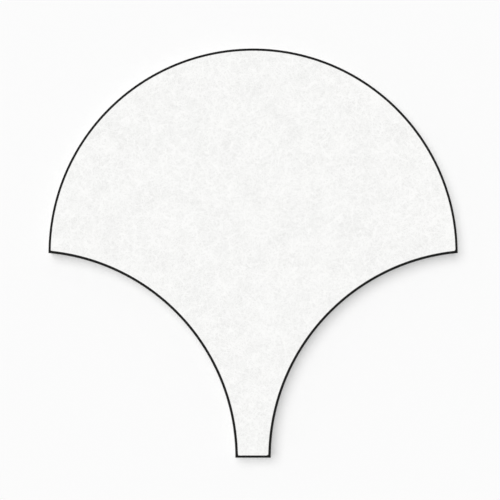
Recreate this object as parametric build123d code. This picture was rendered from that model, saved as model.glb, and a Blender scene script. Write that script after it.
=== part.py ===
"""Scallop-shaped acoustic wall tile, cut in one piece from felted polyester board.

Seen from the front, the outline is a half-round crown on top, a shoulder at each end of its
diameter, a hollow flank curving in from each shoulder, and a short straight foot. The crown of a
tile in the next row down sits in each flank, so the tiles nest like fish scales. The section is
plain board with square sides. Only the edge of the face is softened, where the blade went in.

Millimetres. X runs across the tile, Y up it from foot to crown, and Z out of the wall. The tile
lies on its back, and the origin is the centre of the crown's circle on the back face.
"""

import os

from build123d import *

# Driving dimensions
TILE_WIDTH = 300.0  # from shoulder to shoulder, the diameter of the crown
FLANK_DROP = 150.0  # from the line of the shoulders down to the foot
FOOT_WIDTH = 26.0  # length of the straight edge at the bottom
BOARD_THICKNESS = 12.0  # one board of felt, from back to face
FACE_EDGE_ROUND = 1.25  # radius of the softened edge all round the face

# The outline's corners follow from the driving dimensions
CROWN_RADIUS = TILE_WIDTH / 2
LEFT_SHOULDER = (-CROWN_RADIUS, 0.0)
RIGHT_SHOULDER = (CROWN_RADIUS, 0.0)
CROWN_TOP = (0.0, CROWN_RADIUS)
LEFT_FOOT_CORNER = (-FOOT_WIDTH / 2, -FLANK_DROP)
RIGHT_FOOT_CORNER = (FOOT_WIDTH / 2, -FLANK_DROP)


def tile_outline():
    """The closed outline, with each flank leaving the foot at a right angle to it."""
    straight_up = (0, 1)
    with BuildLine() as outline:
        ThreePointArc(RIGHT_SHOULDER, CROWN_TOP, LEFT_SHOULDER)
        TangentArc(LEFT_FOOT_CORNER, LEFT_SHOULDER, tangent=straight_up)
        Line(LEFT_FOOT_CORNER, RIGHT_FOOT_CORNER)
        TangentArc(RIGHT_FOOT_CORNER, RIGHT_SHOULDER, tangent=straight_up)
    return outline


def scallop_tile():
    """The board cut to the outline, with the edge of its face softened."""
    outline = tile_outline()
    with BuildPart() as tile:
        with BuildSketch():
            add(outline.line)
            make_face()
        extrude(amount=BOARD_THICKNESS)
        face = tile.faces().sort_by(Axis.Z)[-1]
        fillet(face.edges(), radius=FACE_EDGE_ROUND)
    return tile.part


os.makedirs("parts", exist_ok=True)
export_step(scallop_tile(), "parts/scallop_tile.step")
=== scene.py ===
import math

import bpy
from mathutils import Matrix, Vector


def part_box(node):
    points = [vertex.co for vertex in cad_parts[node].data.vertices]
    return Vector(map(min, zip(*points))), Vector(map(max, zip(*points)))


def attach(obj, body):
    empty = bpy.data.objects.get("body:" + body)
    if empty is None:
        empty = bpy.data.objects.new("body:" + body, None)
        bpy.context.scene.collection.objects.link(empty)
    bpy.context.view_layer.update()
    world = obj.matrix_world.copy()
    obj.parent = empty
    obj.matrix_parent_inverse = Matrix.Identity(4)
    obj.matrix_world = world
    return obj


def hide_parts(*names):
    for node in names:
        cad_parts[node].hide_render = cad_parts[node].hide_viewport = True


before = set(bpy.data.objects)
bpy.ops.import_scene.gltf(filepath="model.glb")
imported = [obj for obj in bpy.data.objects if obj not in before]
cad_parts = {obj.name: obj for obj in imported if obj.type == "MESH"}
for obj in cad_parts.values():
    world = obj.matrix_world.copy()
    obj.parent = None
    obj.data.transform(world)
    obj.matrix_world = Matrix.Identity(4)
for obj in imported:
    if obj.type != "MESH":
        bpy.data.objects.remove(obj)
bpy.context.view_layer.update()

# The tile is one piece of polyester felt board. Fibres are needled into a mat, the mat is pressed
# flat with heat, and a hot blade cuts the scallop out of it. The rim of the face is painted as a thin
# dark line: painted shade along the tile's edge. Glue on the flat back holds the tile to the wall.
MM = 0.001
HAIR = 0.01 * MM  # points nearer than this to a line are on it

tile_low, tile_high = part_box("scallop_tile")
cad_points = [vertex.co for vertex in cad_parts["scallop_tile"].data.vertices]
crown_radius = (tile_high.x - tile_low.x) / 2
flank_drop = -tile_low.y
board_top = tile_high.z
foot_half = max(point.x for point in cad_points if point.y < tile_low.y + HAIR)
rim_round = min(point.y for point in cad_points if point.z > board_top - HAIR) - tile_low.y
wall_top = board_top - rim_round

# Each flank is an arc that leaves the foot at a right angle and ends at the shoulder.
flank_reach = crown_radius - foot_half
flank_radius = (flank_reach**2 + flank_drop**2) / (2 * flank_reach)
flank_centre_x = foot_half + flank_radius
flank_turn = math.acos((flank_centre_x - crown_radius) / flank_radius)

# A whole number of steps goes into each quarter of the crown's circle, so that one step ends at
# each shoulder.
OUTLINE_STEP = 1.8 * MM
quarter_steps = round(math.pi / 2 * crown_radius / OUTLINE_STEP)
flank_steps = round(flank_radius * flank_turn / OUTLINE_STEP)
foot_cuts = round(2 * foot_half / OUTLINE_STEP) - 1


def pick(piece, is_wanted):
    """Selects the points of the piece that pass the test, with the edges and faces between them."""
    bpy.ops.object.mode_set(mode="OBJECT")
    points = piece.data.vertices
    for point in points:
        point.select = is_wanted(point.co)
    for part in [*piece.data.edges, *piece.data.polygons]:
        part.select = all(points[index].select for index in part.vertices)
    bpy.ops.object.mode_set(mode="EDIT")


def is_on_face(point):
    """Whether a point lies on the flat of the face."""
    return point.z > board_top - HAIR


# The outline is half a circle for the crown, an arc spun from each shoulder, and the foot.
bpy.ops.object.select_all(action="DESELECT")
bpy.ops.mesh.primitive_circle_add(vertices=4 * quarter_steps, radius=crown_radius)
felt_tile = bpy.context.object
felt_tile.name = "felt_tile"
pick(felt_tile, lambda co: co.y < -HAIR)
bpy.ops.mesh.delete(type="VERT")
for side in (-1, 1):
    pick(felt_tile, lambda co: side * co.x > crown_radius - HAIR)
    bpy.ops.mesh.spin(
        steps=flank_steps,
        angle=-side * flank_turn,  # spin counts clockwise turns as positive
        center=(side * flank_centre_x, -flank_drop, 0),
        axis=(0, 0, 1),
    )
pick(felt_tile, lambda co: co.y < -flank_drop + HAIR)
bpy.ops.mesh.edge_face_add()
bpy.ops.mesh.subdivide(number_cuts=foot_cuts)

# The outline is filled and raised to the board's thickness, and the rim of the face is rounded.
RIM_SEGMENTS = 5
bpy.ops.mesh.select_all(action="SELECT")
bpy.ops.mesh.edge_face_add()
bpy.ops.mesh.extrude_region_move(TRANSFORM_OT_translate={"value": (0, 0, board_top)})
bpy.ops.mesh.select_all(action="SELECT")
bpy.ops.mesh.normals_make_consistent(inside=False)
pick(felt_tile, is_on_face)
bpy.ops.mesh.bevel(offset=rim_round, segments=RIM_SEGMENTS, affect="EDGES", clamp_overlap=False)

# The face is cut into small squares and the wall into rings, so that both can be uneven.
FACE_CELL = 1.25 * MM
WALL_RING = 1.5 * MM
half_cells = int(crown_radius / FACE_CELL)
face_lines = [line * FACE_CELL for line in range(-half_cells, half_cells + 1)]
wall_lines = [line * WALL_RING for line in range(1, int(wall_top / WALL_RING) + 1)]


def slice_part(piece, is_wanted, places, directions):
    """Cuts part of the piece with planes at these distances from the origin along each direction."""
    pick(piece, is_wanted)
    bpy.ops.mesh.hide(unselected=True)
    for direction in directions:
        for place in places:
            bpy.ops.mesh.select_all(action="SELECT")
            bpy.ops.mesh.bisect(plane_co=[place * part for part in direction], plane_no=direction)
    bpy.ops.mesh.reveal(select=False)


bpy.ops.mesh.select_mode(type="FACE")
slice_part(felt_tile, is_on_face, face_lines, [(1, 0, 0), (0, 1, 0)])
slice_part(felt_tile, lambda co: co.z < wall_top + HAIR, wall_lines, [(0, 0, 1)])
bpy.ops.object.mode_set(mode="OBJECT")

# The face and the back are felt as it was pressed, and the wall and the round are cut felt.
FACE, CUT_EDGE = 0, 1  # the order of the tile's materials
for polygon in felt_tile.data.polygons:
    corners = [felt_tile.data.vertices[index].co for index in polygon.vertices]
    is_face = all(is_on_face(corner) for corner in corners)
    is_back = all(corner.z < HAIR for corner in corners)
    polygon.material_index = FACE if is_face or is_back else CUT_EDGE

# Each point knows how far it lies past the rim of the face, which places the painted line of edge
# shade.
round_length = rim_round * math.pi / 2


def inset(point):
    """How far in from the tile's outline a point lies, seen from the front."""
    from_flank = math.hypot(abs(point.x) - flank_centre_x, point.y + flank_drop) - flank_radius
    if point.y > 0:
        return min(from_flank, crown_radius - math.hypot(point.x, point.y))
    return min(from_flank, point.y + flank_drop)


def past_rim(point):
    """How far a point lies past the rim of the face, over the round and down the wall."""
    if is_on_face(point):
        return rim_round - inset(point)
    if point.z > wall_top:
        return rim_round * math.acos((point.z - wall_top) / rim_round)
    return round_length + wall_top - point.z


distances = felt_tile.data.attributes.new("past_rim", "FLOAT", "POINT")
distances.data.foreach_set("value", [past_rim(vertex.co) for vertex in felt_tile.data.vertices])

# Fibres bunch up as they are needled, so the face swells and sinks a little. The wall is a little
# rough from the blade, but its top and bottom edges are true.
SWELL_SIZE = 9 * MM
SWELL_RISE = 0.14 * MM
BUNCH_SIZE = 3.5 * MM
BUNCH_RISE = 0.08 * MM
BLADE_SIZE = 4 * MM
BLADE_RISE = 0.16 * MM
FINER_LAYERS = 1  # how many layers of ever smaller lumps lie over the first
SHARP_TURN = math.radians(40)  # an edge that turns more than this stays sharp

on_face = felt_tile.vertex_groups.new(name="on_face")
on_wall = felt_tile.vertex_groups.new(name="on_wall")
for vertex in felt_tile.data.vertices:
    if is_on_face(vertex.co):
        on_face.add([vertex.index], 1.0, "REPLACE")
    elif HAIR < vertex.co.z < wall_top - HAIR:
        on_wall.add([vertex.index], 1.0, "REPLACE")


def roughen(piece, group_name, size, rise):
    """Moves a group's points in and out by soft random lumps, this size across and this high."""
    clouds = bpy.data.textures.new("lumps", "CLOUDS")
    clouds.noise_scale = size
    clouds.noise_depth = FINER_LAYERS
    displace = piece.modifiers.new("lumps", "DISPLACE")
    displace.texture = clouds
    displace.texture_coords = "LOCAL"
    displace.vertex_group = group_name
    displace.strength = rise
    bpy.ops.object.modifier_apply(modifier="lumps")


roughen(felt_tile, "on_face", SWELL_SIZE, SWELL_RISE)
roughen(felt_tile, "on_face", BUNCH_SIZE, BUNCH_RISE)
roughen(felt_tile, "on_wall", BLADE_SIZE, BLADE_RISE)
bpy.ops.object.shade_smooth_by_angle(angle=SHARP_TURN)

# Felt is painted with patterns of fibres and lumps. Their sizes are in metres along three axes.
SWAY_SIZE = (6 * MM,) * 3  # size of the bends in the fibres
NOISE_MIDDLE = 0.5  # the value that random lumps swing about


def add_node(tree, kind, inputs, **settings):
    """Adds a shader node. Each input takes a value, or the output that feeds it."""
    node = tree.nodes.new("ShaderNode" + kind)
    for name, setting in settings.items():
        setattr(node, name, setting)
    for place, value in inputs.items():
        if isinstance(value, bpy.types.NodeSocket):
            tree.links.new(value, node.inputs[place])
        else:
            node.inputs[place].default_value = value
    return node


def noise(tree, where, size, detail=2.0, turn=0.0, output="Fac"):
    """Soft random lumps of this size, turned about the upright by some degrees."""
    inputs = {"Vector": where, "Rotation": (0, 0, math.radians(turn)), "Scale": size}
    lumps = add_node(tree, "Mapping", inputs, vector_type="TEXTURE").outputs["Vector"]
    inputs = {"Vector": lumps, "Scale": 1.0, "Detail": detail}
    return add_node(tree, "TexNoise", inputs).outputs[output]


def swayed(tree, where, bend):
    """Moves places by up to the bend, here more and there less, so that lines painted there curve."""
    sway = noise(tree, where, SWAY_SIZE, detail=1.0, output="Color")
    inputs = {0: sway, 1: bend, 2: where}
    return add_node(tree, "VectorMath", inputs, operation="MULTIPLY_ADD").outputs["Vector"]


def fade(tree, value, start, end, low=0.0, high=1.0):
    """Runs smoothly from low to high as the value goes from start to end."""
    inputs = {"Value": value, "From Min": start, "From Max": end, "To Min": low, "To Max": high}
    return add_node(tree, "MapRange", inputs, interpolation_type="SMOOTHSTEP").outputs["Result"]


def math_node(tree, operation, *values):
    """One step of arithmetic on one to three values."""
    return add_node(tree, "Math", dict(enumerate(values)), operation=operation).outputs["Value"]


def weighted_sum(tree, start, terms):
    """Adds each output times its weight to a starting value."""
    for output, weight in terms:
        start = math_node(tree, "MULTIPLY_ADD", output, weight, start)
    return start


# A Mix node has its own numbered sockets for values and for colours.
def mix_values(tree, factor, first, second):
    """Goes from the first value to the second as the factor goes from 0 to 1."""
    return add_node(tree, "Mix", {0: factor, 2: first, 3: second}, data_type="FLOAT").outputs[0]


def mix_colours(tree, factor, first, second):
    """Goes from the first colour to the second as the factor goes from 0 to 1."""
    return add_node(tree, "Mix", {0: factor, 6: first, 7: second}, data_type="RGBA").outputs[2]


def strands(tree, where, turns, size, half_width):
    """Thin bright lines, long in each of these directions, that cross over each other."""
    lines = 0.0
    for turn in turns:
        drift = noise(tree, where, size, detail=0.0, turn=turn)
        from_line = math_node(tree, "ABSOLUTE", math_node(tree, "SUBTRACT", drift, NOISE_MIDDLE))
        lines = math_node(tree, "MAXIMUM", lines, fade(tree, from_line, 0, half_width, 1, 0))
    return lines


def new_material(name, specular):
    """A material with its tree and its shader."""
    material = bpy.data.materials.new(name)
    material.use_nodes = True
    surface = material.node_tree.nodes["Principled BSDF"]
    surface.inputs["Specular IOR Level"].default_value = specular
    return material, material.node_tree, surface


# The rim is painted nearly black with a ragged edge and a bumpy bead: painted shade along the tile's
# edge.
RIM_SHADE_DARK = (0.003, 0.003, 0.003, 1.0)
RIM_SHADE_DULL = (0.018, 0.018, 0.017, 1.0)
RIM_SHADE_REACH = 0.68 * MM  # how far the painted dark rim reaches in over the face
RIM_SHADE_EDGE = 0.06 * MM  # half the width of its edge there
RIM_SHADE_FADE = 0.7 * MM  # how far it fades out down the wall
RIM_SHADE_RAGGED = 0.3 * MM  # how far its edges wander
TOOTH_SIZE = (0.7 * MM,) * 3
BEAD_SIZE = (0.5 * MM,) * 3
BEAD_DARK = 0.4  # the bead pattern's values where the painted dark rim is darkest and where it is dullest
BEAD_DULL = 0.7
BEAD_HEIGHT = 0.5  # a weight, like those in the lists of heights
FELT_ROUGHNESS = 0.95
RIM_SHADE_ROUGHNESS = 0.6
BUMP_STRENGTH = 0.6


def finish_felt(tree, surface, where, colour, height, height_size):
    """Lays the painted rim shade over the felt's colour and height, and feeds both to the shader."""
    past = add_node(tree, "Attribute", {}, attribute_name="past_rim").outputs["Fac"]
    tooth = noise(tree, where, TOOTH_SIZE)
    ragged = math_node(tree, "MULTIPLY_ADD", tooth, RIM_SHADE_RAGGED, past)
    edge = RIM_SHADE_RAGGED * NOISE_MIDDLE - RIM_SHADE_REACH
    begins = fade(tree, ragged, edge - RIM_SHADE_EDGE, edge + RIM_SHADE_EDGE)
    ends = fade(tree, ragged, round_length, round_length + RIM_SHADE_FADE, 1, 0)
    painted_rim_shade = math_node(tree, "MULTIPLY", begins, ends)
    bead = noise(tree, where, BEAD_SIZE)
    # Painted shade: the rim is coloured nearly black along the tile's edge.
    rim_shade_colour = mix_colours(tree, fade(tree, bead, BEAD_DARK, BEAD_DULL), RIM_SHADE_DARK, RIM_SHADE_DULL)
    tree.links.new(mix_colours(tree, painted_rim_shade, colour, rim_shade_colour), surface.inputs["Base Color"])
    roughness = fade(tree, painted_rim_shade, 0, 1, FELT_ROUGHNESS, RIM_SHADE_ROUGHNESS)
    tree.links.new(roughness, surface.inputs["Roughness"])
    height = mix_values(tree, painted_rim_shade, height, math_node(tree, "MULTIPLY", bead, BEAD_HEIGHT))
    inputs = {"Height": height, "Strength": BUMP_STRENGTH, "Distance": height_size}
    bump = add_node(tree, "Bump", inputs).outputs["Normal"]
    tree.links.new(bump, surface.inputs["Normal"])


# White felt: fine fibres cross each other in all directions, over faint clouds of thicker and
# thinner mat. A few longer fibres lie loose on top, and the needles leave small pricks. The tone
# follows the bump, lighter on raised fibres and clumps and darker in the pricks: painted light and
# shade. The mat's clouds are the felt's own uneven tone.
FELT_LIGHT = (0.985, 0.985, 0.975, 1.0)
FELT_SHADE = (0.76, 0.76, 0.75, 1.0)
FELT_SPECULAR = 0.1
FELT_HEIGHT = 0.10 * MM  # what a height of 1 stands for
FIBRE_TURNS = (8, 51, 97, 142)  # degrees
FIBRE_SIZE = (7 * MM, 0.9 * MM, 0.9 * MM)
FIBRE_HALF = 0.09  # a fibre is where the lumps are this near to their middle value
FIBRE_BEND = (2.2 * MM,) * 3
LOOSE_TURNS = (29, 74, 118, 163)
LOOSE_SIZE = (22 * MM, 5 * MM, 5 * MM)
LOOSE_HALF = 0.022
GRAIN_SIZE = (0.5 * MM,) * 3
CLUMP_SIZE = (3.2 * MM,) * 3
MAT_SIZE = (16 * MM,) * 3
NEEDLE_GAP = 3.2 * MM
PRICK_CORE = 0.03  # a prick's painted shaded middle and its whole radius, as shares of the needles' gap
PRICK_RADIUS = 0.12
FELT_START = -0.25  # with this start the sum of the tones stays mostly between shade and light

white_felt, tree, surface = new_material("white_felt", FELT_SPECULAR)
where = add_node(tree, "TexCoord", {}).outputs["Object"]
bent = swayed(tree, where, FIBRE_BEND)
fibres = strands(tree, bent, FIBRE_TURNS, FIBRE_SIZE, FIBRE_HALF)
loose = strands(tree, bent, LOOSE_TURNS, LOOSE_SIZE, LOOSE_HALF)
grain = noise(tree, where, GRAIN_SIZE)
clumps = noise(tree, where, CLUMP_SIZE)
mat = noise(tree, where, MAT_SIZE, detail=3.0)
needled = add_node(tree, "TexVoronoi", {"Vector": where, "Scale": 1 / NEEDLE_GAP})
pricks = fade(tree, needled.outputs["Distance"], PRICK_CORE, PRICK_RADIUS, 1, 0)
# Painted light and shade: the tone is lighter where the heights below rise and darker at the pricks.
tones = [(fibres, 0.4), (loose, 0.35), (grain, 0.5), (clumps, 0.5), (mat, 0.5), (pricks, -0.3)]
heights = [(fibres, 0.6), (loose, 0.7), (grain, 0.4), (clumps, 0.6), (pricks, -0.6)]
colour = mix_colours(tree, weighted_sum(tree, FELT_START, tones), FELT_SHADE, FELT_LIGHT)
finish_felt(tree, surface, where, colour, weighted_sum(tree, 0.0, heights), FELT_HEIGHT)

# The cut edge: the wall shows the mat's layers from the side, with short fibres lying along them,
# the ends of others between, small open pores, and faint strokes of the blade. Its tone follows its
# bump, darker in the hollows and pores: painted shade. Its colours are greyer than the face's, partly
# the cut felt's own tone and partly painted shade between the fibre ends.
CUT_LIGHT = (0.90, 0.90, 0.89, 1.0)
CUT_SHADE = (0.50, 0.50, 0.49, 1.0)
CUT_HEIGHT = 0.15 * MM
LAYER_SIZE = (22 * MM, 22 * MM, 2.2 * MM)
ROW_SIZE = (2.6 * MM, 2.6 * MM, 0.4 * MM)
LAID_TURNS = (0, 40)
LAID_SIZE = (3.4 * MM, 3.4 * MM, 0.6 * MM)
LAID_HALF = 0.07
LAID_BEND = (0.9 * MM,) * 3
END_SIZE = (0.4 * MM,) * 3
PORE_SIZE = (1.0 * MM, 1.0 * MM, 0.3 * MM)
PORE_RIM = 0.58  # the pore pattern's values where a pore begins and where it is deepest
PORE_CORE = 0.72
STROKE_SIZE = (2.6 * MM, 2.6 * MM, 40 * MM)
CUT_START = -0.3

cut_edge, tree, surface = new_material("cut_edge", FELT_SPECULAR)
where = add_node(tree, "TexCoord", {}).outputs["Object"]
bent = swayed(tree, where, LAID_BEND)
layers = noise(tree, where, LAYER_SIZE)
rows = noise(tree, bent, ROW_SIZE)
laid = strands(tree, bent, LAID_TURNS, LAID_SIZE, LAID_HALF)
ends = noise(tree, where, END_SIZE)
pores = fade(tree, noise(tree, bent, PORE_SIZE, detail=1.0), PORE_RIM, PORE_CORE)
strokes = noise(tree, where, STROKE_SIZE, detail=1.0)
# Painted shade: the same sum gives the wall's tone and its height, so the hollows and pores are
# darker.
tones = [(layers, 0.5), (rows, 0.5), (laid, 0.3), (ends, 0.5), (pores, -0.3), (strokes, 0.15)]
colour = mix_colours(tree, weighted_sum(tree, CUT_START, tones), CUT_SHADE, CUT_LIGHT)
finish_felt(tree, surface, where, colour, weighted_sum(tree, 0.0, tones), CUT_HEIGHT)

felt_tile.data.materials.append(white_felt)
felt_tile.data.materials.append(cut_edge)
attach(felt_tile, "root")
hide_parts("scallop_tile")

# The floor is a plain sheet of white paper, far wider than the view. The tile lies on it with its
# back down. The floor is only the stage, and no part of the tile.
FLOOR_WHITE = (0.97, 0.97, 0.97, 1.0)
FLOOR_SIDE = 40.0  # metres
bpy.ops.mesh.primitive_plane_add(size=FLOOR_SIDE)
floor = bpy.context.object
floor.name = "floor"
paper, tree, surface = new_material("floor_paper", specular=0.0)
surface.inputs["Base Color"].default_value = FLOOR_WHITE
surface.inputs["Roughness"].default_value = 1.0
floor.data.materials.append(paper)

# One wide soft lamp stands to the upper left, and an even pale room fills in the shadows. Their
# light adds up to one on a level surface, so that a colour comes out about as it is written.
LAMP_SHARE = 0.42
LAMP_TILT = math.radians(18)
LAMP_WIDTH = math.radians(50)  # how wide the lamp looks from the tile
ROOM_WHITE = (1.0, 1.0, 1.0, 1.0)
bpy.ops.object.light_add(type="SUN", rotation=(-LAMP_TILT, -LAMP_TILT, 0))
lamp = bpy.context.object
lamp.name = "soft_lamp"
lamp.data.energy = LAMP_SHARE * math.pi / math.cos(LAMP_TILT) ** 2
lamp.data.angle = LAMP_WIDTH

# What the camera sees past the floor, also in a gloss, is as white as the floor.
room = bpy.data.worlds.new("room")
bpy.context.scene.world = room
room.use_nodes = True
tree = room.node_tree
fill = tree.nodes["Background"]
fill.inputs["Color"].default_value = ROOM_WHITE
fill.inputs["Strength"].default_value = 1 - LAMP_SHARE
backdrop = add_node(tree, "Background", {"Color": FLOOR_WHITE, "Strength": 1.0})
path = add_node(tree, "LightPath", {})
seen = 0.0
for ray in ("Is Camera Ray", "Is Glossy Ray", "Is Transmission Ray"):
    seen = math_node(tree, "MAXIMUM", seen, path.outputs[ray])
shown = add_node(
    tree, "MixShader", {0: seen, 1: fill.outputs["Background"], 2: backdrop.outputs["Background"]}
)
tree.links.new(shown.outputs["Shader"], tree.nodes["World Output"].inputs["Surface"])

# The camera looks straight down on the face. It stands at the height from which the top of the
# wall is as wide in the picture as in the drawing.
PHOTO_SIDE = 500  # pixels
CROWN_CENTRE = (253.08, 253.09)  # pixels from the left and the top
TILE_ACROSS = 409.3  # pixels from shoulder to shoulder, which lays the dark rim on the drawn line
LENS = 85  # millimetres, as is the sensor
SENSOR = 36
pixel = 2 * crown_radius / TILE_ACROSS
camera_x = (PHOTO_SIDE / 2 - CROWN_CENTRE[0]) * pixel
camera_y = (CROWN_CENTRE[1] - PHOTO_SIDE / 2) * pixel
camera_z = wall_top + PHOTO_SIDE * pixel * LENS / SENSOR
bpy.ops.object.camera_add(location=(camera_x, camera_y, camera_z), rotation=(0, 0, 0))
camera = bpy.context.object
camera.data.lens = LENS
camera.data.sensor_width = SENSOR
bpy.context.scene.camera = camera
bpy.context.scene.view_settings.view_transform = "Standard"
